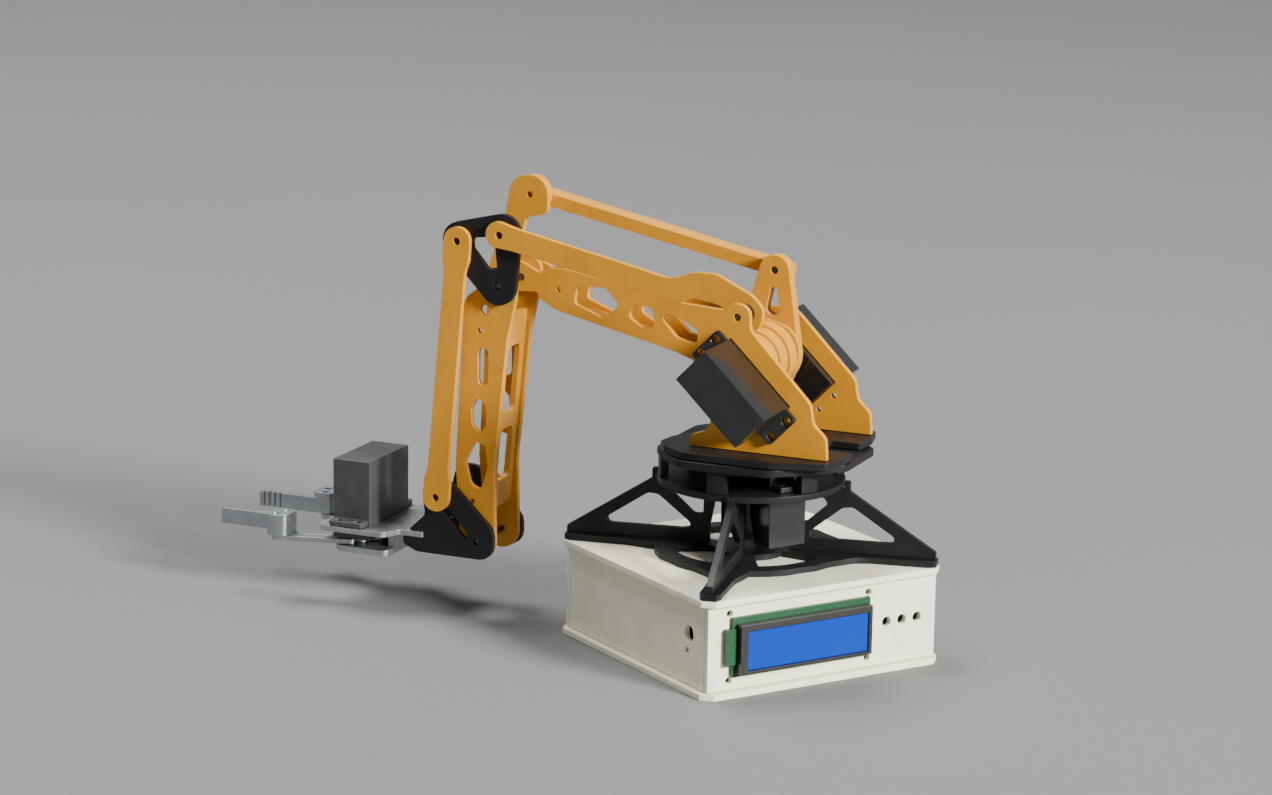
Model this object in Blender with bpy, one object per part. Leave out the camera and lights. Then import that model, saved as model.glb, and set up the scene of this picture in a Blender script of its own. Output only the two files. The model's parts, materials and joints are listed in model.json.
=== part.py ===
"""Desktop parallel-link robot arm on a control box, built as separate parts.

Units are millimetres in the tables below and metres in the file. The origin is the bottom centre
of the control box. The arm is drawn in its own upright plane (a forward, b to the near side, z up)
and that plane is turned about Z by ARM_YAW.
"""
import math

import bmesh
import bpy
from mathutils import Matrix, Vector

# Driving dimensions ------------------------------------------------------------------------------
MM = 0.001
SHEET = 3.0
GAP = 0.3
ARM_YAW = 124.8
BOX = 130.0
BOX_WALL_H = 39.6
BOX_CHAMFER = 5.0
WALL_OUT = 62.0
FOOT_Z = 46.3
LEG_Z = 49.3
DECK_Z = 80.0
DECK_R = 43.6
TURN_LOW_Z = 94.0
TURN_TOP_Z = 98.0
TOWER_Z = 101.3
TOWER_B = 27.1

CENTRE_B = -1.2
SHOULDER = (-1.4, 138.0)
UPPER = (124.4, 24.8)
FOREARM = (10.6, -124.7)
CRANK = (-2.6, 39.2)
LEVEL_TOP = (-2.0, 24.8)
LEVEL_SIDE = (19.8, 20.1)

ROCKER_B = (13.4, 16.4)
LINK_B = (16.8, 19.8)
FORE_NEAR_B = (10.0, 13.0)
FORE_FAR_B = (-15.4, -12.4)
UPPER_NEAR_B = (-12.0, -9.0)
UPPER_FAR_B = (-26.6, -23.6)
CRANK_B = (-15.4, -12.4)
CRANK_BACK_B = (-18.4, -15.7)
TOP_LINK_B = (-25.4, -18.7)
WRIST_NEAR_B = (13.4, 16.4)
WRIST_FAR_B = (-18.8, -15.8)

HEAD_R = 8.0
LINK_HEAD_R = 7.2
ARM_HEAD_R = 9.2
PIN_R = 1.5
PIN_HOLE_R = 1.8

WEB_OUT = -3.6

SERVO_L = 40.7
SERVO_W = 19.7
SERVO_BODY = 27.5
SERVO_EAR = 2.5
SERVO_NOSE = 7.5
SERVO_END = 10.0
TOWER_SERVO_END = 11.0
SERVO_TILT = 44.3

CLAW_A = 198.6
CLAW_GEAR_R = 10.2
CLAW_PIVOT = 10.35
CLAW_ARM = (35.4, 9.55)
CLAW_SIDE = (2.4, 6.6)


def add(p, q):
    return (p[0] + q[0], p[1] + q[1])


ELBOW = add(SHOULDER, UPPER)
WRIST = add(ELBOW, FOREARM)
CRANK_END = add(SHOULDER, CRANK)
FORE_END = add(ELBOW, CRANK)
TOWER_PIVOT = add(SHOULDER, LEVEL_TOP)
ROCKER_TOP = add(ELBOW, LEVEL_TOP)
ROCKER_SIDE = add(ELBOW, LEVEL_SIDE)
WRIST_SIDE = add(WRIST, LEVEL_SIDE)

# Scene set-up ------------------------------------------------------------------------------------
for old in list(bpy.data.objects):
    bpy.data.objects.remove(old, do_unlink=True)

parts = bpy.data.collections.new("palletising_arm")
bpy.context.scene.collection.children.link(parts)
cutters = bpy.data.collections.new("cutters")
bpy.context.scene.collection.children.link(cutters)

COLOURS = {
    "orange_acrylic": (0.60, 0.26, 0.045, 1.0),
    "black_acrylic": (0.030, 0.030, 0.032, 1.0),
    "cream_acrylic": (0.80, 0.79, 0.68, 1.0),
    "servo_case": (0.060, 0.068, 0.066, 1.0),
    "grey_servo_case": (0.16, 0.16, 0.165, 1.0),
    "claw_metal": (0.42, 0.44, 0.45, 1.0),
    "pin_steel": (0.10, 0.10, 0.10, 1.0),
    "circuit_board": (0.030, 0.085, 0.040, 1.0),
    "display_frame": (0.045, 0.040, 0.035, 1.0),
    "display_glass": (0.012, 0.16, 0.80, 1.0),
}
materials = {}


def make_material(name):
    mat = bpy.data.materials.new(name)
    mat.use_nodes = True
    shader = mat.node_tree.nodes["Principled BSDF"]
    shader.inputs["Base Color"].default_value = COLOURS[name]
    shader.inputs["Roughness"].default_value = 0.4
    if name in ("claw_metal", "pin_steel"):
        shader.inputs["Metallic"].default_value = 1.0
    mat.diffuse_color = COLOURS[name]
    materials[name] = mat


for key in COLOURS:
    make_material(key)


# Frames ------------------------------------------------------------------------------------------
def make_empty(name, at, parent=None):
    empty = bpy.data.objects.new(name, None)
    empty.empty_display_size = 0.01
    parts.objects.link(empty)
    empty.parent = parent
    empty.location = Vector(at) * MM
    return empty


arm = make_empty("arm_frame", (0, 0, 0))
arm.rotation_euler = (0, 0, math.radians(ARM_YAW))


def axis_empty(name, pivot):
    return make_empty(name, (pivot[0], 0, pivot[1]), arm)


shoulder_axis = axis_empty("shoulder_axis", SHOULDER)
crank_axis = axis_empty("crank_axis", SHOULDER)
elbow_axis = axis_empty("elbow_axis", ELBOW)
forearm_axis = axis_empty("forearm_axis", ELBOW)
wrist_axis = axis_empty("wrist_axis", WRIST)
crank_pin_axis = axis_empty("crank_pin_axis", CRANK_END)
top_link_axis = axis_empty("top_link_axis", CRANK_END)
level_link_axis = axis_empty("level_link_axis", TOWER_PIVOT)
vertical_link_axis = axis_empty("vertical_link_axis", ROCKER_SIDE)
waist_axis = make_empty("waist_axis", (0, 0, DECK_Z), arm)


# Outlines ----------------------------------------------------------------------------------------
def circle(centre, radius, count=24):
    step = 2 * math.pi / count
    return [(centre[0] + radius * math.cos(i * step), centre[1] + radius * math.sin(i * step))
            for i in range(count)]


def rect(low, high):
    return [low, (high[0], low[1]), high, (low[0], high[1])]


def hull(circles, count=20):
    points = []
    for x, y, radius in circles:
        points += circle((x, y), radius, count)
    points = sorted(set((round(p[0], 4), round(p[1], 4)) for p in points))

    def half(sequence):
        chain = []
        for p in sequence:
            while len(chain) > 1:
                u = (chain[-1][0] - chain[-2][0], chain[-1][1] - chain[-2][1])
                v = (p[0] - chain[-2][0], p[1] - chain[-2][1])
                if u[0] * v[1] - u[1] * v[0] > 1e-9:
                    break
                chain.pop()
            chain.append(p)
        return chain[:-1]

    return half(points) + half(points[::-1])


def fillet(corners, steps=4):
    """Round each corner (x, y, radius) of a closed polygon."""
    out = []
    total = len(corners)
    for i in range(total):
        x, y, radius = corners[i]
        here = Vector((x, y))
        back = Vector(corners[i - 1][:2]) - here
        ahead = Vector(corners[(i + 1) % total][:2]) - here
        room = min(back.length, ahead.length) * 0.49
        back.normalize()
        ahead.normalize()
        angle = back.angle(ahead)
        if radius <= 0 or abs(angle - math.pi) < 0.02:
            out.append((x, y))
            continue
        cut = min(radius / math.tan(angle / 2), room)
        radius = cut * math.tan(angle / 2)
        middle = here + (back + ahead).normalized() * (radius / math.sin(angle / 2))
        first = here + back * cut - middle
        last = here + ahead * cut - middle
        turn = math.atan2(first.x * last.y - first.y * last.x, first.dot(last))
        number = max(2, round(steps * abs(turn) / (math.pi / 2)))
        for k in range(number + 1):
            a = turn * k / number
            out.append((middle.x + first.x * math.cos(a) - first.y * math.sin(a),
                        middle.y + first.x * math.sin(a) + first.y * math.cos(a)))
    return out


def slot(start, end, width, count=12):
    return hull([(start[0], start[1], width / 2), (end[0], end[1], width / 2)], count)


def along(origin, direction, corners):
    """Carry (u, v, radius) corners onto the line that leaves origin along direction."""
    d = Vector(direction).normalized()
    return [(origin[0] + u * d.x - v * d.y, origin[1] + u * d.y + v * d.x, r)
            for u, v, r in corners]


# Solids ------------------------------------------------------------------------------------------
def finish(obj, material, parent, origin=(0, 0, 0), collection=parts):
    """Put the mesh in its place, with the object's origin at the given point."""
    obj.data.transform(Matrix.Translation(-Vector(origin)))
    obj.data.transform(Matrix.Scale(MM, 4))
    collection.objects.link(obj)
    if material:
        obj.data.materials.append(materials[material])
    if parent is not None:
        obj.parent = parent
        if parent is not arm and parent.parent is arm:
            offset = Vector(origin) * MM - parent.location
            obj.location = offset
            return obj
    obj.location = Vector(origin) * MM
    return obj


def clean(mesh):
    work = bmesh.new()
    work.from_mesh(mesh)
    bmesh.ops.remove_doubles(work, verts=work.verts, dist=1e-5)
    bmesh.ops.dissolve_degenerate(work, edges=work.edges, dist=1e-5)
    bmesh.ops.recalc_face_normals(work, faces=work.faces)
    work.to_mesh(mesh)
    work.free()


def prism_mesh(name, outline, holes, low, high, upright):
    """Closed sheet from an outline with holes; upright turns it from XY into the XZ plane."""
    curve = bpy.data.curves.new(name, "CURVE")
    curve.dimensions = "2D"
    curve.fill_mode = "BOTH"
    curve.extrude = (high - low) / 2
    for ring in [outline] + list(holes):
        spline = curve.splines.new("POLY")
        spline.points.add(len(ring) - 1)
        for point, (x, y) in zip(spline.points, ring):
            point.co = (x, y, 0, 1)
        spline.use_cyclic_u = True
    temp = bpy.data.objects.new(name, curve)
    bpy.context.scene.collection.objects.link(temp)
    bpy.context.view_layer.update()
    mesh = bpy.data.meshes.new_from_object(temp.evaluated_get(bpy.context.evaluated_depsgraph_get()))
    bpy.data.objects.remove(temp, do_unlink=True)
    middle = (low + high) / 2
    for vertex in mesh.vertices:
        x, y, z = vertex.co
        vertex.co = (x, z + middle, y) if upright else (x, y, z + middle)
    clean(mesh)
    mesh.name = name
    return mesh


def plate(name, outline, holes, span, material, parent, origin=(0, 0, 0)):
    """Sheet standing in the arm's plane, with span its two side faces."""
    mesh = prism_mesh(name, outline, holes, span[0], span[1], True)
    return finish(bpy.data.objects.new(name, mesh), material, parent, origin)


def slab(name, outline, holes, low, high, material, parent=None, origin=(0, 0, 0)):
    """Sheet lying flat."""
    mesh = prism_mesh(name, outline, holes, low, high, False)
    return finish(bpy.data.objects.new(name, mesh), material, parent, origin)


def box_mesh(name, low, high):
    mesh = bpy.data.meshes.new(name)
    work = bmesh.new()
    bmesh.ops.create_cube(work, size=1.0)
    size = Vector(high) - Vector(low)
    bmesh.ops.scale(work, vec=size, verts=work.verts)
    bmesh.ops.translate(work, vec=(Vector(low) + Vector(high)) / 2, verts=work.verts)
    work.to_mesh(mesh)
    work.free()
    return mesh


def block(name, low, high, material, parent=None, origin=(0, 0, 0)):
    return finish(bpy.data.objects.new(name, box_mesh(name, low, high)), material, parent, origin)


def combine(target, tool_mesh, operation, origin=(0, 0, 0)):
    """Boolean one mesh into the target, whose origin is given in the mesh's own frame."""
    tool_mesh.transform(Matrix.Translation(-Vector(origin)))
    tool_mesh.transform(Matrix.Scale(MM, 4))
    tool = bpy.data.objects.new(target.name + "_cutter", tool_mesh)
    cutters.objects.link(tool)
    tool.hide_render = True
    tool.display_type = "WIRE"
    bpy.context.view_layer.update()
    tool.matrix_world = target.matrix_world
    modifier = target.modifiers.new("join", "BOOLEAN")
    modifier.object = tool
    modifier.operation = operation
    modifier.solver = "EXACT"
    bpy.context.view_layer.update()
    graph = bpy.context.evaluated_depsgraph_get()
    mesh = bpy.data.meshes.new_from_object(target.evaluated_get(graph))
    target.modifiers.remove(modifier)
    target.data = mesh
    bpy.data.objects.remove(tool, do_unlink=True)
    clean_mesh = target.data
    work = bmesh.new()
    work.from_mesh(clean_mesh)
    bmesh.ops.remove_doubles(work, verts=work.verts, dist=1e-7)
    work.to_mesh(clean_mesh)
    work.free()


def pin_mesh(pivot, span, radius=PIN_R, count=14):
    return prism_mesh("pin", circle(pivot, radius, count), [], span[0], span[1], True)


def screw_hole(centre, radius=1.4, count=10):
    return circle(centre, radius, count)


# Servo -------------------------------------------------------------------------------------------
def servo(name, matrix, material, parent, body=SERVO_BODY, boss=1.0, spline=12.0, end=SERVO_END):
    """Hobby servo with its output axis on Z and the ears' upper face at z = 0."""
    half = SERVO_W / 2
    low = -end
    high = SERVO_L - end
    mesh = box_mesh(name, (low, -half, -body - SERVO_EAR), (high, half, SERVO_NOSE))
    obj = finish(bpy.data.objects.new(name, mesh), material, None)
    centre = (low + high) / 2
    ears = slot_ears(centre)
    combine(obj, prism_mesh("ears", ears[0], ears[1], -SERVO_EAR, 0.0, False), "UNION")
    collar = prism_mesh("collar", circle((0, 0), 6.4, 18), [], SERVO_NOSE - 1,
                        SERVO_NOSE + boss, False)
    combine(obj, collar, "UNION")
    shaft = prism_mesh("shaft", circle((0, 0), 2.9, 12), [], SERVO_NOSE, spline, False)
    combine(obj, shaft, "UNION")
    obj.data.transform(Matrix.Translation(matrix.translation * MM) @ matrix.to_3x3().to_4x4())
    if parent is not None:
        obj.parent = parent
        obj.location = -parent.location if parent is not arm else Vector((0, 0, 0))
    return obj


def slot_ears(centre):
    """Ear plate outline and its four screw holes."""
    outline = fillet([(centre - 27.4, -9.0, 1.5), (centre + 27.4, -9.0, 1.5),
                      (centre + 27.4, 9.0, 1.5), (centre - 27.4, 9.0, 1.5)], 2)
    holes = [circle((centre + sx * 24.6, sy * 5.0), 2.2, 10) for sx in (-1, 1) for sy in (-1, 1)]
    return outline, holes


def axes(x_dir, y_dir, z_dir, at):
    return Matrix.Translation(Vector(at)) @ Matrix((x_dir, y_dir, z_dir)).transposed().to_4x4()


# Control box -------------------------------------------------------------------------------------
def chamfered_square(size, cut):
    h = size / 2
    c = h - cut
    return [(-c, -h), (c, -h), (h, -c), (h, c), (c, h), (-c, h), (-h, c), (-h, -c)]


def build_box():
    square = chamfered_square(BOX, BOX_CHAMFER)
    slab("box_floor", square, [], 0.0, SHEET, "cream_acrylic")
    vents = [circle((0, 0), 6.0, 24)]
    slab("box_lid", square, vents, SHEET + BOX_WALL_H + 0.4, FOOT_Z - GAP, "cream_acrylic")
    low = SHEET + GAP
    high = SHEET + BOX_WALL_H + 0.1
    o = WALL_OUT
    i = o - SHEET
    holes = [circle((x, z), 1.6, 10) for x in (-50.6, 24.4) for z in (7.75, 38.75)]
    holes += [circle((x, 23.3), 2.3, 14) for x in (34.8, 43.3, 51.8)]
    holes.append(rect((-38.0, 14.0), (12.0, 31.0)))
    front = prism_mesh("box_front", rect((-o, low), (o, high)), holes, -o, -i, True)
    finish(bpy.data.objects.new("box_front", front), "cream_acrylic", None)
    block("box_back", (-o, i, low), (o, o, high), "cream_acrylic")
    side_holes = [circle((-46.1, 27.2), 3.8, 18), circle((-44.6, 19.1), 1.5, 10)]
    edge = i - GAP
    left = prism_mesh("box_left", rect((-edge, low), (edge, high)), side_holes, -o, -i, True)
    left.transform(Matrix(((0, 1, 0, 0), (1, 0, 0, 0), (0, 0, 1, 0), (0, 0, 0, 1))))
    left.flip_normals()
    finish(bpy.data.objects.new("box_left", left), "cream_acrylic", None)
    block("box_right", (i, -edge, low), (o, edge, high), "cream_acrylic")


def build_electronics():
    board = block("display_board", (-50.3, -64.2, 9.6), (24.0, -62.3, 37.2), "circuit_board")
    combine(board, box_mesh("light", (-54.0, -65.4, 15.6), (-49.0, -63.0, 32.4)), "UNION")
    frame = prism_mesh("display_frame", rect((-48.4, 11.5), (22.5, 34.5)),
                       [rect((-44.6, 12.9), (20.6, 31.1))], -68.5, -64.5, True)
    finish(bpy.data.objects.new("display_frame", frame), "display_frame", None)
    block("display_screen", (-44.3, -67.8, 13.2), (20.3, -64.5, 30.8), "display_glass")
    block("controller_board", (-40.0, -26.0, 8.0), (40.0, 34.0, 9.6), "circuit_board")


# Static stand ------------------------------------------------------------------------------------
def foot_outline():
    points = []
    arm_shape = [(51.0, -7.6), (58.0, -5.6), (66.0, -5.3), (85.0, -5.0), (88.0, -3.5),
                 (88.0, 3.5), (85.0, 5.0), (66.0, 5.3), (58.0, 5.6), (51.0, 7.6)]
    for k in range(4):
        base = math.radians(45 + 90 * k)
        for step in range(-45, -12, 11):
            a = base + math.radians(step)
            radius = 43.6 if step == -45 else 44.8
            points.append((radius * math.cos(a), radius * math.sin(a)))
        for b, c in arm_shape:
            points.append((b * math.cos(base) - c * math.sin(base),
                           b * math.sin(base) + c * math.cos(base)))
        for step in range(12, 45, 11):
            a = base + math.radians(step)
            points.append((44.8 * math.cos(a), 44.8 * math.sin(a)))
    return points


def sector(r0, r1, mid, half, count=6):
    angles = [math.radians(mid - half + 2 * half * i / count) for i in range(count + 1)]
    outer = [(r1 * math.cos(a), r1 * math.sin(a)) for a in angles]
    inner = [(r0 * math.cos(a), r0 * math.sin(a)) for a in reversed(angles)]
    return outer + inner


def build_stand():
    holes = [sector(17.0, 36.0, 90 * k, 27) for k in range(4)]
    slab("foot_plate", foot_outline(), holes, FOOT_Z, LEG_Z - GAP, "black_acrylic")
    top = DECK_Z - GAP
    profile = fillet([
        (87.3, LEG_Z, 0), (87.3, 52.5, 1), (84.0, 54.6, 1), (46.7, 78.4, 1.5), (46.7, 83.2, 0.6),
        (44.0, 83.2, 0.4), (44.0, top, 0), (16.9, top, 0), (16.9, 68.0, 1), (19.0, 57.0, 1),
        (19.0, LEG_Z, 0)], 4)
    windows = [
        fillet([(72.5, 55.3, 2.0), (48.3, 71.2, 3.5), (43.5, 70.6, 3.5), (24.5, 55.3, 2.0)], 4),
        fillet([(36.6, 71.8, 1.5), (34.6, 74.8, 1.5), (29.4, 74.4, 1.5), (22.0, 70.4, 1.5),
                (22.0, 62.8, 1.8), (26.6, 62.8, 1.8)], 3)]
    for k, name in enumerate(("leg_right", "leg_back", "leg_left", "leg_front")):
        angle = (-45, 45, 135, 225)[k]
        mesh = prism_mesh(name, profile, windows, -SHEET / 2, SHEET / 2, True)
        mesh.transform(Matrix.Rotation(math.radians(angle), 4, "Z"))
        finish(bpy.data.objects.new(name, mesh), "black_acrylic", None)
    cut = rect((-10.2, -31.1), (10.2, 10.4))
    slab("deck_plate", circle((0, 0), DECK_R, 44), [cut], DECK_Z, DECK_Z + SHEET, "black_acrylic")
    lift = DECK_Z + SHEET + GAP + SERVO_EAR
    turned = axes((0, -1, 0), (1, 0, 0), (0, 0, 1), (0, 0, lift))
    servo("waist_servo", turned, "servo_case", None, spline=11.9)


# Turntable ---------------------------------------------------------------------------------------
def build_turntable():
    near = [(29.0, 5.5, 5), (33.4, 16.0, 7), (34.6, 27.0, 6), (29.5, 35.0, 5), (17.0, 44.0, 8),
            (-26.0, 44.0, 8), (-43.0, 37.5, 4), (-50.5, 35.0, 4), (-53.0, 22.0, 4),
            (-53.0, 9.5, 2), (-34.0, 9.0, 3)]
    far = [(-34.0, -9.0, 3), (-50.0, -9.5, 2), (-50.5, -22.0, 4), (-47.5, -36.5, 4),
           (-43.0, -37.5, 3), (-26.0, -44.0, 8), (14.0, -44.0, 8), (23.0, -28.0, 6),
           (24.0, -9.0, 5)]
    outline = fillet(near + far, 3)
    screws = [screw_hole((x, y), 1.6) for x in (-6.5, 6.5) for y in (-6.5, 6.5)]
    slab("turntable_top", outline, screws, TURN_TOP_Z, TURN_TOP_Z + SHEET, "black_acrylic", arm)
    lower = fillet([(38.0, 24.0, 8), (18.0, 45.2, 10), (-26.0, 45.2, 10), (-42.0, 30.0, 8),
                    (-53.5, 18.0, 5), (-53.5, -18.0, 5), (-42.0, -30.0, 8), (-26.0, -45.2, 10),
                    (18.0, -45.2, 10), (38.0, -24.0, 8)], 3)
    hub = [circle((0, 0), 11.5, 32)]
    slab("turntable_lower", lower, hub, TURN_LOW_Z, TURN_LOW_Z + SHEET + 0.4, "black_acrylic", arm)
    top = TURN_LOW_Z - GAP
    glides = slab("glide_ring", circle((0, 0), 43.0, 36), [circle((0, 0), 39.8, 36)], top - 1.2,
                  top, "black_acrylic", arm)
    for k in range(6):
        a = math.radians(30 + 60 * k)
        shape = [(-2.2, -4.6), (1.5, -4.6), (2.1, 0.0), (1.5, 4.6), (-2.2, 4.6)]
        foot = [(41.3 * math.cos(a) + x * math.cos(a) - y * math.sin(a),
                 41.3 * math.sin(a) + x * math.sin(a) + y * math.cos(a)) for x, y in shape]
        combine(glides, prism_mesh("foot", foot, [], DECK_Z + SHEET + 0.35, top, False), "UNION")
    slab("waist_horn", circle((0, 0), 10.6, 24), [circle((0, 0), 3.2, 14)], 94.6, 97.7,
         "pin_steel", arm)
    block("tower_brace", (2.0, -26.8, TOWER_Z), (5.0, 26.8, 112.0), "black_acrylic", arm)


def servo_window():
    """Cut-out for a servo that leans along the tower."""
    t = Vector((math.cos(math.radians(SERVO_TILT)), math.sin(math.radians(SERVO_TILT))))
    p = Vector((t.y, -t.x))
    s = Vector(SHOULDER)
    mid = s - t * (SERVO_L / 2 - TOWER_SERVO_END)
    half_l = SERVO_L / 2 + 0.35
    half_w = SERVO_W / 2 + 0.35
    corners = [mid + t * i * half_l + p * j * half_w
               for i, j in ((1, 1), (1, -1), (-1, -1), (-1, 1))]
    screws = [tuple(mid + t * i * 24.6 + p * j * 5.0) for i in (-1, 1) for j in (-1, 1)]
    return [tuple(c) for c in corners], screws, t, p


def build_towers():
    window, screws, t, p = servo_window()
    tp = TOWER_PIVOT
    side = [
        (-39.5, 126.2, 5), (-41.0, 117.0, 6),
        (-47.2, 111.4, 4), (-48.0, TOWER_Z, 0), (18.6, TOWER_Z, 0), (18.6, 106.0, 2),
        (9.6, 109.6, 5), (7.6, 119.0, 8), (18.6, 134.0, 8), (17.6, 141.6, 6)]
    near = fillet(side + [(3.4, 158.5, 4), (2.8, 168.9, 6.1), (-9.6, 168.9, 6.1),
                          (-9.4, 157.5, 6)], 4)
    far = fillet(side + [(4.0, 157.8, 8), (-9.5, 156.6, 8)], 4)
    small = [screw_hole(s, 1.4) for s in screws]
    hole = [circle(tp, PIN_HOLE_R, 14)]
    plate("tower_near", near, [window] + small + hole, (TOWER_B, TOWER_B + SHEET),
          "orange_acrylic", arm)
    plate("tower_far", far, [window] + small, (-TOWER_B - SHEET, -TOWER_B),
          "orange_acrylic", arm)
    # The servos lean along the towers with their bodies outboard and their shafts inboard.
    x_dir = (-t.x, 0, -t.y)
    y_dir = (p.x, 0, p.y)
    face = TOWER_B + SHEET + GAP
    s3 = (SHOULDER[0], face, SHOULDER[1])
    servo("shoulder_servo", axes(x_dir, y_dir, (0, -1, 0), s3), "servo_case", arm,
          end=TOWER_SERVO_END)
    f3 = (SHOULDER[0], -face, SHOULDER[1])
    turned = axes(x_dir, (-p.x, 0, -p.y), (0, 1, 0), f3)
    servo("elbow_servo", turned, "servo_case", arm, spline=10.0, end=TOWER_SERVO_END)
    post = plate("level_pin", circle(tp, 4.5, 18), [], (LINK_B[1] + GAP, TOWER_B - GAP),
                 "pin_steel", arm)
    combine(post, pin_mesh(tp, (LINK_B[0] + 0.4, TOWER_B + SHEET - 1.6)), "UNION")


# Upper arm ---------------------------------------------------------------------------------------
def upper_outline(near):
    span = Vector(UPPER).length
    tip = [(span + ARM_HEAD_R, -ARM_HEAD_R, 9.1), (span + ARM_HEAD_R, ARM_HEAD_R, 9.1)]
    top = [(span - 10.0, 4.4, 2), (span - 11.4, 7.4, 3), (span - 21.0, 10.2, 8), (43.0, 11.8, 20)]
    low = [(u, -v, r) for u, v, r in reversed(top)]
    if near:
        root = [(10.0, 16.4, 12), (-16.4, 16.4, 16.2), (-16.4, -16.4, 16.2), (10.0, -16.4, 12)]
    else:
        root = [(20.0, 11.8, 3), (20.0, -11.8, 3)]
    return fillet(along(SHOULDER, UPPER, tip + top + root + low), 4)


def upper_windows():
    shapes = [
        [(98.0, -4.6, 2.5), (98.0, 4.2, 2.5), (84.0, 7.4, 2.5), (75.4, 2.0, 2.5),
         (78.0, -3.4, 2.5), (83.0, -7.0, 2.5)],
        [(70.4, -2.4, 2.5), (67.0, 4.8, 2.5), (59.0, 4.8, 2.5), (56.0, -0.6, 2), (57.0, -4.6, 2),
         (62.0, -5.6, 2.5)],
        [(53.4, 1.4, 2), (50.4, 4.8, 2), (44.0, 4.4, 2.5), (34.4, 1.4, 2.5), (33.0, -5.8, 2.5),
         (44.0, -5.2, 2.5)]]
    return [fillet(along(SHOULDER, UPPER, s), 3) for s in shapes]


def spot(origin, direction, u, v=0.0):
    return along(origin, direction, [(u, v, 0)])[0][:2]


def build_upper_arm():
    o = (SHOULDER[0], 0, SHOULDER[1])
    elbow_hole = circle(ELBOW, PIN_HOLE_R, 16)
    small = screw_hole(spot(SHOULDER, UPPER, 106.6), 1.5)
    hub_hole = circle(SHOULDER, 3.3, 16)
    plate("upper_arm_near", upper_outline(True), upper_windows() + [elbow_hole, small, hub_hole],
          UPPER_NEAR_B, "orange_acrylic", shoulder_axis, o)
    plate("upper_arm_far", upper_outline(False), upper_windows() + [elbow_hole, small],
          UPPER_FAR_B, "orange_acrylic", shoulder_axis, o)
    web = fillet(along(SHOULDER, UPPER, [(38.0, -10.6, 0), (94.0, -9.4, 0), (94.0, -7.8, 0),
                                        (38.0, -8.4, 0)]), 1)
    plate("upper_arm_web", web, [], (UPPER_FAR_B[1] + GAP, UPPER_NEAR_B[0] - GAP),
          "orange_acrylic", shoulder_axis, o)
    hub = plate("shoulder_hub", circle(SHOULDER, 13.4, 28), [], (-8.7, 15.3),
                "orange_acrylic", shoulder_axis, o)
    combine(hub, pin_mesh(SHOULDER, (-8.7, -0.6), 16.4, 32), "UNION", o)
    combine(hub, pin_mesh(SHOULDER, (-1.0, 7.4), 14.8, 30), "UNION", o)
    combine(hub, pin_mesh(SHOULDER, (-10.0, 20.0), 3.3, 14), "DIFFERENCE", o)
    plate("shoulder_horn", circle(SHOULDER, 10.4, 24), [circle(SHOULDER, 3.2, 14)],
          (15.6, 18.6), "pin_steel", shoulder_axis, o)
    plate("elbow_shaft", circle(ELBOW, PIN_R, 14), [], (-26.0, 15.4), "pin_steel",
          shoulder_axis, o)


def build_crank():
    o = (SHOULDER[0], 0, SHOULDER[1])
    shape = hull([(CRANK_END[0], CRANK_END[1], LINK_HEAD_R), (SHOULDER[0], SHOULDER[1], 15.6)], 28)
    window = fillet([(-2.6, 169.3, 1.2), (-5.4, 169.3, 1.2), (-7.4, 157.4, 2), (-3.0, 155.8, 2),
                     (0.0, 158.2, 2)], 4)
    pin_hole = circle(CRANK_END, PIN_HOLE_R, 14)
    bolt = screw_hole((-8.4, 151.2), 1.2)
    plate("crank_front", shape, [window, pin_hole, bolt], CRANK_B, "orange_acrylic",
          crank_axis, o)
    plate("crank_back", shape, [window, pin_hole, bolt], CRANK_BACK_B, "orange_acrylic",
          crank_axis, o)
    plate("elbow_horn", circle(SHOULDER, 10.4, 24), [circle(SHOULDER, 3.2, 14)],
          (-20.9, -18.7), "pin_steel", crank_axis, o)
    plate("crank_pin", circle(CRANK_END, PIN_R, 14), [], (-24.9, -13.1), "pin_steel",
          crank_pin_axis, (CRANK_END[0], 0, CRANK_END[1]))


# Links -------------------------------------------------------------------------------------------
def build_top_link():
    length = Vector(UPPER).length
    low, high = TOP_LINK_B
    shape = [(low, -4.4), (high, -4.4), (high, 1.6), (high - 1.8, 3.4), (low + 1.8, 3.4),
             (low, 1.6)]
    mesh = bpy.data.meshes.new("top_link")
    work = bmesh.new()
    ends = []
    for u in (-6.0, length + 6.0):
        ends.append([work.verts.new((u, b, v)) for b, v in shape])
    work.faces.new(ends[0])
    work.faces.new(ends[1][::-1])
    for i in range(len(shape)):
        j = (i + 1) % len(shape)
        work.faces.new((ends[0][i], ends[1][i], ends[1][j], ends[0][j]))
    bmesh.ops.recalc_face_normals(work, faces=work.faces)
    tilt = math.atan2(UPPER[1], UPPER[0])
    bmesh.ops.rotate(work, verts=work.verts, cent=(0, 0, 0), matrix=Matrix.Rotation(-tilt, 3, "Y"))
    work.to_mesh(mesh)
    work.free()
    obj = bpy.data.objects.new("top_link", mesh)
    finish(obj, "orange_acrylic", top_link_axis)
    obj.location = (0, 0, 0)
    for where in ((0, 0), UPPER):
        tool = prism_mesh("hole", circle(where, PIN_HOLE_R, 14), [], low - 2, high + 2, True)
        combine(obj, tool, "DIFFERENCE")


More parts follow.
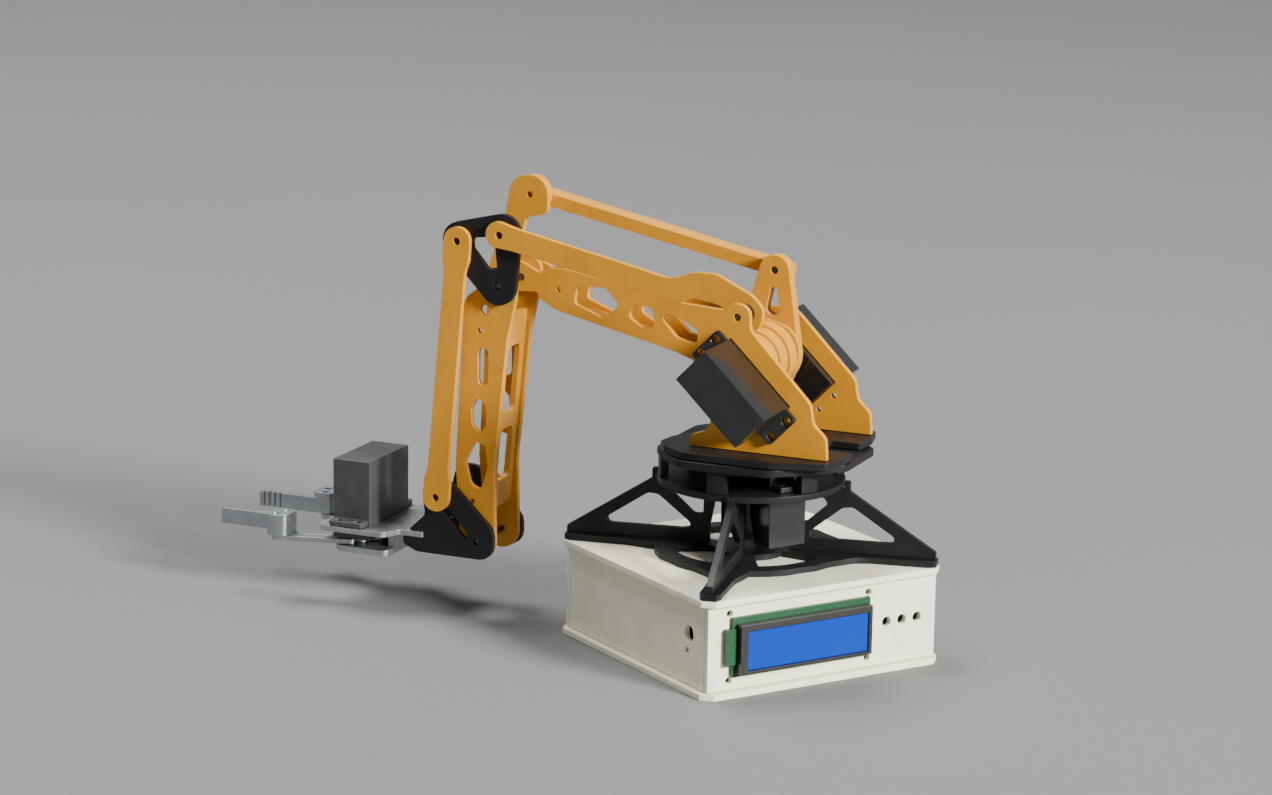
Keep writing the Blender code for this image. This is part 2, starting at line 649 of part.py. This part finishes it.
def build_level_links():
    span = Vector(UPPER).length
    o = (TOWER_PIVOT[0], 0, TOWER_PIVOT[1])
    corners = [
        (span + 6.8, -6.8, 6.7), (span + 6.8, 6.8, 6.7), (span - 8.0, 5.4, 10),
        (56.0, 5.0, 20), (39.0, 4.6, 14), (29.0, 11.2, 14), (18.0, 13.4, 10), (8.4, 11.0, 8),
        (-1.0, 8.6, 6), (-8.2, 4.0, 6), (-8.0, -8.0, 7.9), (6.0, -8.2, 6), (11.0, -0.6, 5),
        (24.0, 0.8, 8), (33.0, -5.4, 10), (48.0, -5.4, 20), (span - 8.0, -5.4, 10)]
    outline = fillet(along(TOWER_PIVOT, UPPER, corners), 6)
    plate("curved_level_link", outline,
          [circle(TOWER_PIVOT, PIN_HOLE_R, 14), circle(ROCKER_TOP, PIN_HOLE_R, 14)],
          LINK_B, "orange_acrylic", level_link_axis, o)
    o = (ROCKER_SIDE[0], 0, ROCKER_SIDE[1])
    reach = Vector(FOREARM).length
    r = LINK_HEAD_R - 0.5
    shape = [(-r, -r, r - 0.1), (9.0, -r, 5), (14.0, -5.3, 12), (reach - 14.0, -5.3, 12),
             (reach - 9.0, -r, 6), (reach + r, -r, r - 0.1), (reach + r, r, r - 0.1),
             (reach - 9.0, r, 6), (reach - 14.0, 5.3, 12), (14.0, 5.3, 12), (9.0, r, 5),
             (-r, r, r - 0.1)]
    outline = fillet(along(ROCKER_SIDE, FOREARM, shape), 6)
    plate("vertical_level_link", outline,
          [circle(ROCKER_SIDE, PIN_HOLE_R, 14), circle(WRIST_SIDE, PIN_HOLE_R, 14)],
          LINK_B, "orange_acrylic", vertical_link_axis, o)


def build_rocker():
    o = (ELBOW[0], 0, ELBOW[1])
    outline = hull([(ROCKER_SIDE[0], ROCKER_SIDE[1], 8.8), (ROCKER_TOP[0], ROCKER_TOP[1], 9.4),
                    (ELBOW[0], ELBOW[1], 9.2)], 24)
    window = fillet([(136.6, 184.6, 2.5), (124.8, 186.2, 2.5), (123.2, 170.2, 1.5),
                     (128.2, 170.6, 1.5), (136.0, 179.6, 2.5)], 4)
    rocker = plate("rocker", outline, [window, circle(ELBOW, PIN_HOLE_R, 16)], ROCKER_B,
                   "black_acrylic", elbow_axis, o)
    for at in (ROCKER_TOP, ROCKER_SIDE):
        combine(rocker, pin_mesh(at, (14.4, 18.2)), "UNION", o)


# Forearm -----------------------------------------------------------------------------------------
def forearm_outline(extended):
    tail = [(142.0, 154.6, 8), (143.6, 121.5, 20), (146.0, 74.0, 12), (144.6, 57.0, 8),
            (142.9, 28.8, 9.1), (125.0, 28.8, 9.1), (126.2, 74.0, 20), (119.8, 137.0, 20),
            (115.4, 156.0, 6)]
    if extended:
        top = [(114.2, 169.4, 5), (124.4, 176.0, 5), (123.9, 184.6, 3), (122.6, 190.9, 2.5),
               (111.2, 193.4, 4), (111.2, 211.2, 9.1), (129.7, 211.2, 9.1), (132.9, 192.0, 20),
               (141.8, 165.0, 10)]
    else:
        top = [(114.9, 171.0, 8.0), (131.1, 171.0, 8.0), (134.6, 160.4, 5)]
    return fillet(top + tail, 6)


def forearm_slots():
    return [slot((131.9, 129.0), (131.9, 116.4), 5.6),
            fillet([(138.2, 102.0, 2.5), (134.6, 108.6, 2), (130.2, 103.6, 2.5),
                    (130.2, 94.6, 2.5), (133.4, 89.6, 2), (137.8, 94.6, 2.5)], 4),
            fillet([(141.2, 76.0, 3), (136.2, 86.0, 2), (130.4, 85.0, 2.5), (129.2, 74.0, 4),
                    (132.8, 62.0, 2.5), (138.6, 65.4, 3)], 4)]


def build_forearm():
    o = (ELBOW[0], 0, ELBOW[1])
    elbow_hole = circle(ELBOW, PIN_HOLE_R, 16)
    wrist_hole = circle(WRIST, PIN_R + 0.05, 14)
    near_holes = [elbow_hole, wrist_hole, circle((131.1, 149.9), 2.6, 20),
                  screw_hole((133.7, 139.9), 1.3), screw_hole((137.1, 56.8), 1.4)]
    plate("forearm_near", forearm_outline(False), near_holes + forearm_slots(), FORE_NEAR_B,
          "orange_acrylic", forearm_axis, o)
    far_holes = [elbow_hole, wrist_hole, circle(FORE_END, PIN_R + 0.05, 14)]
    plate("forearm_far", forearm_outline(True), far_holes + forearm_slots(), FORE_FAR_B,
          "orange_acrylic", forearm_axis, o)
    head = plate("forearm_head_back", circle(FORE_END, ARM_HEAD_R, 24), [], (-18.4, -15.7),
                 "orange_acrylic", forearm_axis, o)
    combine(head, pin_mesh(FORE_END, (-24.9, -14.9)), "UNION", o)
    build_forearm_web(o)
    plate("wrist_shaft", circle(WRIST, PIN_R, 14), [], (-17.6, 14.8), "pin_steel",
          forearm_axis, o)


def build_forearm_web(origin):
    """Cross web between the forearm's two side plates, with two windows."""
    low = FORE_FAR_B[1] + GAP
    high = FORE_NEAR_B[0] - GAP
    d = Vector((FOREARM[0], FOREARM[1])).normalized()
    outer = fillet([(low, 15.0, 0), (high, 15.0, 0), (high, 110.0, 0), (low, 110.0, 0)], 1)
    windows = [fillet([(low + 5.0, top, 3), (high - 4.0, top, 3), (high - 4.0, end, 3),
                       (low + 5.0, end, 3)], 3) for top, end in ((31.0, 64.0), (71.5, 97.0))]
    mesh = prism_mesh("forearm_web", outer, windows, 0.0, 3.0, False)
    # x is across, y runs down the forearm, z is the sheet's thickness.
    e = Vector((ELBOW[0], 0, ELBOW[1]))
    down = Vector((d.x, 0, d.y))
    out = Vector((-d.y, 0, d.x))
    start = e + out * WEB_OUT
    mesh.transform(axes(Vector((0, 1, 0)), down, out, start))
    clean(mesh)
    finish(bpy.data.objects.new("forearm_web", mesh), "orange_acrylic", forearm_axis, origin)


# Wrist and claw ----------------------------------------------------------------------------------
def wrist_outline():
    w = WRIST
    v = WRIST_SIDE
    return fillet([(w[0] - 9.0, w[1] - 8.6, 8), (165.0, 29.6, 6), (172.2, 32.8, 2),
                   (172.2, 36.5, 0.5), (161.0, 36.5, 0), (161.0, 39.9, 0), (169.4, 39.9, 0.5),
                   (160.4, 48.4, 3), (v[0] + 8.4, v[1] - 1.0, 5), (v[0] + 6.0, v[1] + 8.6, 7.5),
                   (v[0] - 5.0, v[1] + 8.6, 7.5), (w[0] - 9.0, w[1] + 6.0, 8)], 4)


def build_wrist():
    o = (WRIST[0], 0, WRIST[1])
    opening = slot((149.3, 51.6), (139.4, 40.6), 3.6, 14)
    holes = [opening, circle(WRIST, PIN_HOLE_R, 14)]
    near = plate("wrist_near", wrist_outline(), holes, WRIST_NEAR_B, "black_acrylic",
                 wrist_axis, o)
    combine(near, pin_mesh(WRIST_SIDE, (14.4, 18.2)), "UNION", o)
    plate("wrist_far", wrist_outline(), holes, WRIST_FAR_B, "black_acrylic", wrist_axis, o)
    plate("wrist_cross", rect((149.0, 31.8), (160.0, 34.8)), [],
          (WRIST_FAR_B[1] + GAP, WRIST_NEAR_B[0] - GAP), "black_acrylic", wrist_axis, o)


def build_claw_mount():
    o = (WRIST[0], 0, WRIST[1])
    c = CENTRE_B
    half = SERVO_L / 2 + 0.35
    cut = rect((CLAW_A - 10.2, c - half), (CLAW_A + 10.2, c + half))
    tab = 18.2
    outline = fillet([(161.4, c + tab, 1), (161.4, c - tab, 1), (174.0, c - tab, 2),
                      (178.0, c - 27.6, 4), (214.0, c - 27.6, 5), (214.0, c + 27.6, 5),
                      (178.0, c + 27.6, 4), (174.0, c + tab, 2)], 4)
    slab("claw_top_plate", outline, [cut], 36.9, 39.5, "claw_metal", wrist_axis, o)
    outline = fillet([(179.0, c - 22.0, 3), (208.0, c - 22.0, 5), (208.0, c + 22.0, 5),
                      (179.0, c + 22.0, 3)], 4)
    pivot_a = CLAW_A
    shaft = circle((pivot_a, c + CLAW_PIVOT), 3.3, 16)
    base = slab("claw_bracket", outline, [shaft], 26.0, 28.9, "claw_metal", wrist_axis, o)
    posts = [(pivot_a, c - CLAW_PIVOT)]
    posts += [(pivot_a + CLAW_SIDE[0], c + s * (CLAW_PIVOT + CLAW_SIDE[1])) for s in (1, -1)]
    for x, y in posts:
        tool = prism_mesh("post", circle((x, y), 1.9, 12), [], 27.0, 31.4, False)
        combine(base, tool, "UNION", o)
    wall = box_mesh("wall", (179.0, c - 14.0, 27.0), (182.0, c + 14.0, 36.6))
    combine(base, wall, "UNION", o)
    face = 39.5 + GAP + SERVO_EAR
    at = (CLAW_A, c + CLAW_PIVOT, face - SERVO_EAR)
    down = axes((0, -1, 0), (-1, 0, 0), (0, 0, -1), at)
    servo("claw_servo", down, "grey_servo_case", wrist_axis, body=28.9, boss=0.4, spline=12.6)


def gear_sector(centre, side, teeth=18):
    """Hub with a toothed sector on the side that faces the other lever."""
    points = []
    steps = teeth * 4
    for i in range(steps):
        a = 2 * math.pi * (i + 0.5) / steps
        inward = -side * math.sin(a) > 0.45
        radius = 4.0
        if inward:
            radius = CLAW_GEAR_R if (i // 2) % 2 == 0 else CLAW_GEAR_R - 1.1
        if not inward and i % 4:
            continue
        points.append((centre[0] + radius * math.cos(a), centre[1] + radius * math.sin(a)))
    return points


def eye_pin(centre):
    return prism_mesh("eye", circle(centre, 1.6, 12), [], 30.0, 41.6, False)


def bar(start, end, radius):
    shape = hull([(start.x, start.y, radius), (end.x, end.y, radius)], 20)
    return prism_mesh("bar", shape, [], 29.2, 31.6, False)


def build_claw_side(side, name):
    """Geared lever, parallel link and finger; side is +1 near and -1 far."""
    g = Vector((CLAW_A, CENTRE_B + side * CLAW_PIVOT))
    k = g + Vector((CLAW_ARM[0], side * CLAW_ARM[1]))
    h = g + Vector((CLAW_SIDE[0], side * CLAW_SIDE[1]))
    k2 = k + Vector((CLAW_SIDE[0], side * CLAW_SIDE[1]))
    level = 30.0
    lever_at = (g.x, g.y, level)
    link_at = (h.x, h.y, level)
    tip_at = (k.x, k.y, level)
    lever_axis = make_empty("claw_lever_axis_" + name, lever_at, arm)
    link_axis = make_empty("claw_link_axis_" + name, link_at, arm)
    finger_axis = make_empty("claw_finger_axis_" + name, tip_at, arm)
    lever = slab("claw_lever_" + name, gear_sector(g, side), [], 29.2, 31.6, "claw_metal",
                 lever_axis, lever_at)
    combine(lever, bar(g, k, 2.6), "UNION", lever_at)
    combine(lever, eye_pin(k), "UNION", lever_at)
    bore = 3.2 if side > 0 else 2.2
    combine(lever, prism_mesh("bore", circle(g, bore, 14), [], 20.0, 40.0, False),
            "DIFFERENCE", lever_at)
    shape = hull([(h.x, h.y, 2.7), (k2.x, k2.y, 2.3)], 20)
    link = slab("claw_link_" + name, shape, [], 29.2, 31.6, "claw_metal", link_axis, link_at)
    combine(link, eye_pin(k2), "UNION", link_at)
    combine(link, prism_mesh("bore", circle(h, 2.15, 12), [], 20.0, 40.0, False),
            "DIFFERENCE", link_at)
    build_finger(side, name, k, k2, finger_axis, tip_at)


def build_finger(side, name, k, k2, axis, origin):
    """Jaw with a tall root over its two pivots and a long low pad with a ribbed tip."""
    c = CENTRE_B
    inner = c + side * 17.0
    low, high = sorted((inner, c + side * 30.2))
    shape = fillet([(229.6, low, 2), (240.6, low, 2), (240.6, high, 3), (229.6, high, 3)], 4)
    holes = [circle(k, 1.9, 12), circle(k2, 1.9, 12)]
    finger = slab("claw_finger_" + name, shape, holes, 31.9, 42.2, "claw_metal", axis, origin)
    low, high = sorted((inner, c + side * 20.6))
    jaw = box_mesh("jaw", (238.0, low, 31.9), (270.0, high, 39.4))
    combine(finger, jaw, "UNION", origin)
    for i in range(4):
        x = 257.5 + 3.0 * i
        low, high = sorted((inner - side * 1.0, inner + side * 0.8))
        groove = box_mesh("groove", (x, low, 30.0), (x + 1.2, high, 41.0))
        combine(finger, groove, "DIFFERENCE", origin)


# Build -------------------------------------------------------------------------------------------
build_box()
build_electronics()
build_stand()
build_turntable()
build_towers()
build_upper_arm()
build_crank()
build_top_link()
build_level_links()
build_rocker()
build_forearm()
build_wrist()
build_claw_mount()
build_claw_side(1, "near")
build_claw_side(-1, "far")
for item in parts.objects:
    if item.type == "MESH":
        item.data.polygons.foreach_set("use_smooth", [True] * len(item.data.polygons))
        item.data.set_sharp_from_angle(angle=math.radians(28))
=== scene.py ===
import json
import math

import bpy
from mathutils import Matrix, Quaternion, Vector

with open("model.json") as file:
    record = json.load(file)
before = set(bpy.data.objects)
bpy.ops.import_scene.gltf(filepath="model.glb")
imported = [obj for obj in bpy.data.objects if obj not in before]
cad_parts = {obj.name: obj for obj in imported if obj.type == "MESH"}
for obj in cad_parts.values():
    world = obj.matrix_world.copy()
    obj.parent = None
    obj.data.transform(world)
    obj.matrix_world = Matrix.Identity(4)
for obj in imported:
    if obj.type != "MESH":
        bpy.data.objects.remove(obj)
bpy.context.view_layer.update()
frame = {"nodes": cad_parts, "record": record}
nodes = frame["nodes"]
scene = bpy.context.scene


# Materials ---------------------------------------------------------------------------------------
class Shader:
    """A Principled material with short calls for the nodes it is built from."""

    def __init__(self, name, roughness=0.4, metallic=0.0, specular=0.5, coat=0.0, coat_rough=0.1):
        self.mat = bpy.data.materials.new(name)
        self.mat.use_nodes = True
        self.tree = self.mat.node_tree
        self.bsdf = self.tree.nodes["Principled BSDF"]
        self.set(self.bsdf, "Roughness", roughness)
        self.set(self.bsdf, "Metallic", metallic)
        self.set(self.bsdf, "Specular IOR Level", specular)
        self.set(self.bsdf, "Coat Weight", coat)
        self.set(self.bsdf, "Coat Roughness", coat_rough)
        self.place = self.tree.nodes.new("ShaderNodeTexCoord").outputs["Object"]

    def set(self, node, socket, value):
        node.inputs[socket].default_value = value

    def join(self, output, node, socket):
        self.tree.links.new(output, node.inputs[socket])

    def noise(self, scale, detail=3.0, stretch=(1, 1, 1)):
        """Noise in the object's own space, where one unit is a metre."""
        mapping = self.tree.nodes.new("ShaderNodeMapping")
        self.set(mapping, "Scale", stretch)
        self.join(self.place, mapping, "Vector")
        tex = self.tree.nodes.new("ShaderNodeTexNoise")
        self.set(tex, "Scale", scale)
        self.set(tex, "Detail", detail)
        self.join(mapping.outputs["Vector"], tex, "Vector")
        return tex.outputs["Fac"]

    def ramp(self, value, low, high, start=0.3, end=0.7):
        """Colour from low to high as value goes from start to end."""
        node = self.tree.nodes.new("ShaderNodeValToRGB")
        self.join(value, node, "Fac")
        node.color_ramp.elements[0].position = start
        node.color_ramp.elements[1].position = end
        node.color_ramp.elements[0].color = (*low, 1.0)
        node.color_ramp.elements[1].color = (*high, 1.0)
        return node.outputs["Color"]

    def span(self, value, low, high, start=0.3, end=0.7):
        """Number from low to high as value goes from start to end."""
        node = self.tree.nodes.new("ShaderNodeMapRange")
        self.join(value, node, "Value")
        self.set(node, "From Min", start)
        self.set(node, "From Max", end)
        self.set(node, "To Min", low)
        self.set(node, "To Max", high)
        return node.outputs["Result"]

    def bump(self, value, strength, depth):
        node = self.tree.nodes.new("ShaderNodeBump")
        self.set(node, "Strength", strength)
        self.set(node, "Distance", depth)
        self.join(value, node, "Height")
        self.join(node.outputs["Normal"], self.bsdf, "Normal")

    def colour(self, output):
        self.join(output, self.bsdf, "Base Color")

    def rough(self, output):
        self.join(output, self.bsdf, "Roughness")


def tinted(rgb, factor):
    return tuple(min(1.0, c * factor) for c in rgb)


def sheet_material(name, rgb, rough_low, rough_high, coat, specular=0.5):
    """Laser-cut plastic sheet: faint cloudiness, wipe marks and a soft waviness in the gloss."""
    s = Shader(name, coat=coat, coat_rough=0.12, specular=specular)
    s.colour(s.ramp(s.noise(60.0, 4.0), tinted(rgb, 0.93), tinted(rgb, 1.05)))
    s.rough(s.span(s.noise(240.0, 5.0, (1, 1, 0.25)), rough_low, rough_high))
    s.bump(s.noise(900.0, 2.0), 0.06, 0.0002)
    return s.mat


def moulded_material(name, rgb, rough_low, rough_high, grain, coat=0.0):
    """Moulded nylon: fine spark-eroded grain with small changes in gloss."""
    s = Shader(name, coat=coat, coat_rough=0.2)
    s.colour(s.ramp(s.noise(110.0, 5.0), tinted(rgb, 0.85), tinted(rgb, 1.18)))
    s.rough(s.span(s.noise(500.0, 4.0), rough_low, rough_high))
    s.bump(s.noise(grain, 3.0), 0.22, 0.0002)
    return s.mat


def metal_material(name, rgb, rough_low, rough_high, stretch):
    """Satin metal with fine drawn lines."""
    s = Shader(name, metallic=1.0)
    s.colour(s.ramp(s.noise(140.0, 5.0), tinted(rgb, 0.86), tinted(rgb, 1.1)))
    lines = s.noise(700.0, 4.0, stretch)
    s.rough(s.span(lines, rough_low, rough_high))
    s.bump(lines, 0.12, 0.0001)
    return s.mat


def board_material(name, rgb):
    """Solder mask with copper tracks showing as a slightly lighter pattern."""
    s = Shader(name, coat=0.1, coat_rough=0.2, specular=0.3)
    tracks = s.tree.nodes.new("ShaderNodeTexVoronoi")
    tracks.feature = "DISTANCE_TO_EDGE"
    tracks.distance = "MANHATTAN"
    s.set(tracks, "Scale", 420.0)
    s.join(s.place, tracks, "Vector")
    s.colour(s.ramp(tracks.outputs["Distance"], tinted(rgb, 1.3), rgb, 0.03, 0.12))
    s.rough(s.span(s.noise(300.0), 0.3, 0.5))
    s.bump(tracks.outputs["Distance"], 0.1, 0.0002)
    return s.mat


def screen_material(name, rgb):
    """Backlit blue panel with no characters on it."""
    s = Shader(name, coat=0.05, coat_rough=0.1, specular=0.15)
    s.colour(s.ramp(s.noise(45.0, 2.0), tinted(rgb, 0.9), tinted(rgb, 1.08)))
    s.rough(s.span(s.noise(500.0, 3.0), 0.16, 0.26))
    s.set(s.bsdf, "Emission Color", (0.001, 0.085, 0.85, 1.0))
    s.set(s.bsdf, "Emission Strength", 0.8)
    s.bump(s.noise(1500.0, 2.0), 0.04, 0.0001)
    return s.mat


ORANGE = sheet_material("orange_sheet", (0.59, 0.255, 0.012), 0.36, 0.48, 0.06, 0.28)
BLACK = sheet_material("black_sheet", (0.010, 0.010, 0.0108), 0.38, 0.5, 0.0, 0.22)
CREAM = sheet_material("cream_sheet", (0.84, 0.82, 0.62), 0.4, 0.52, 0.03, 0.3)
CASE = moulded_material("servo_nylon", (0.0085, 0.0100, 0.0098), 0.14, 0.22, 1600.0, 0.35)
GREY_CASE = moulded_material("grey_nylon", (0.042, 0.042, 0.044), 0.42, 0.55, 1800.0)
CLAW = metal_material("claw_metal_satin", (0.42, 0.44, 0.45), 0.34, 0.5, (1, 1, 0.08))
PIN = metal_material("pin_metal_dark", (0.10, 0.10, 0.10), 0.32, 0.45, (0.1, 0.1, 1))
BOARD = board_material("board_green", (0.010, 0.060, 0.022))
BEZEL = moulded_material("bezel_black", (0.018, 0.017, 0.016), 0.3, 0.42, 1500.0)
SCREEN = screen_material("screen_blue", (0.001, 0.012, 0.08))

LOOK = {
    "orange_acrylic": ORANGE, "black_acrylic": BLACK, "cream_acrylic": CREAM,
    "servo_case": CASE, "grey_servo_case": GREY_CASE, "claw_metal": CLAW, "pin_steel": PIN,
    "circuit_board": BOARD, "display_frame": BEZEL, "display_glass": SCREEN}

# Edges and finish of the CAD pieces --------------------------------------------------------------
WELD_GAP = 1e-5
SHARP = math.radians(40)
EDGE = {"orange_acrylic": 0.0004, "black_acrylic": 0.0004, "cream_acrylic": 0.0004,
        "servo_case": 0.0018, "grey_servo_case": 0.0009, "claw_metal": 0.0003,
        "pin_steel": 0.0002, "circuit_board": 0.0002, "display_frame": 0.0004,
        "display_glass": 0.0002}


def round_edges(obj, width, segments=3):
    """Small fillet on every sharp edge, with the flat faces kept flat."""
    weld = obj.modifiers.new("weld", "WELD")
    weld.merge_threshold = WELD_GAP
    bevel = obj.modifiers.new("edge", "BEVEL")
    bevel.width = width
    bevel.segments = segments
    bevel.limit_method = "ANGLE"
    bevel.angle_limit = SHARP
    bevel.use_clamp_overlap = True
    bevel.harden_normals = False
    normal = obj.modifiers.new("normals", "WEIGHTED_NORMAL")
    normal.keep_sharp = False
    for polygon in obj.data.polygons:
        polygon.use_smooth = True


for item in frame["record"]["subparts"]:
    node = nodes[item["node"]]
    look = LOOK[item["material_slot"]]
    for place in node.material_slots:
        place.material = look
    round_edges(node, EDGE[item["material_slot"]])

# Stage -------------------------------------------------------------------------------------------
FLOOR_GREY = (0.16, 0.16, 0.16)
FLOOR_SIZE = 30.0
LENS_MM = 106.29
SENSOR_MM = 36.0
CAMERA_AT = (-0.92867, -1.40559, 0.50504)
CAMERA_LOOK = Vector((0.51099, 0.82996, -0.22373))
CAMERA_ROLL = math.radians(0.906)
SKY = (0.93, 0.95, 1.0, 1.0)
SKY_STRENGTH = 0.34


def floor_material():
    s = Shader("floor_paint", roughness=0.7)
    s.colour(s.ramp(s.noise(3.0, 2.0), tinted(FLOOR_GREY, 0.985), tinted(FLOOR_GREY, 1.015)))
    s.rough(s.span(s.noise(40.0, 3.0), 0.78, 0.80))
    return s.mat


def make_floor():
    """Wide plain floor."""
    bpy.ops.mesh.primitive_plane_add(size=FLOOR_SIZE, location=(0, 0, 0))
    floor = bpy.context.object
    floor.name = "studio_floor"
    floor.data.materials.append(floor_material())


def make_camera():
    data = bpy.data.cameras.new("camera")
    data.lens = LENS_MM
    data.sensor_width = SENSOR_MM
    data.clip_end = 50.0
    camera = bpy.data.objects.new("camera", data)
    scene.collection.objects.link(camera)
    camera.location = CAMERA_AT
    camera.rotation_mode = "QUATERNION"
    roll = Quaternion((0, 0, 1), CAMERA_ROLL)
    camera.rotation_quaternion = CAMERA_LOOK.to_track_quat("-Z", "Y") @ roll
    scene.camera = camera


def make_light(name, place, target, size, power):
    """Round soft lamp at place, turned to the target."""
    data = bpy.data.lights.new(name, "AREA")
    data.shape = "DISK"
    data.size = size
    data.energy = power
    lamp = bpy.data.objects.new(name, data)
    scene.collection.objects.link(lamp)
    lamp.location = place
    lamp.rotation_mode = "QUATERNION"
    lamp.rotation_quaternion = (Vector(target) - Vector(place)).to_track_quat("-Z", "Y")


def make_world():
    world = bpy.data.worlds.new("studio")
    world.use_nodes = True
    back = world.node_tree.nodes["Background"]
    back.inputs["Color"].default_value = SKY
    back.inputs["Strength"].default_value = SKY_STRENGTH
    scene.world = world


make_floor()
make_camera()
make_world()
make_light("key", (1.4, -4.3, 2.0), (0, 0, 0.1), 1.2, 720.0)
make_light("top", (-0.5, 1.6, 3.8), (-0.1, 0.6, 0.0), 2.0, 225.0)
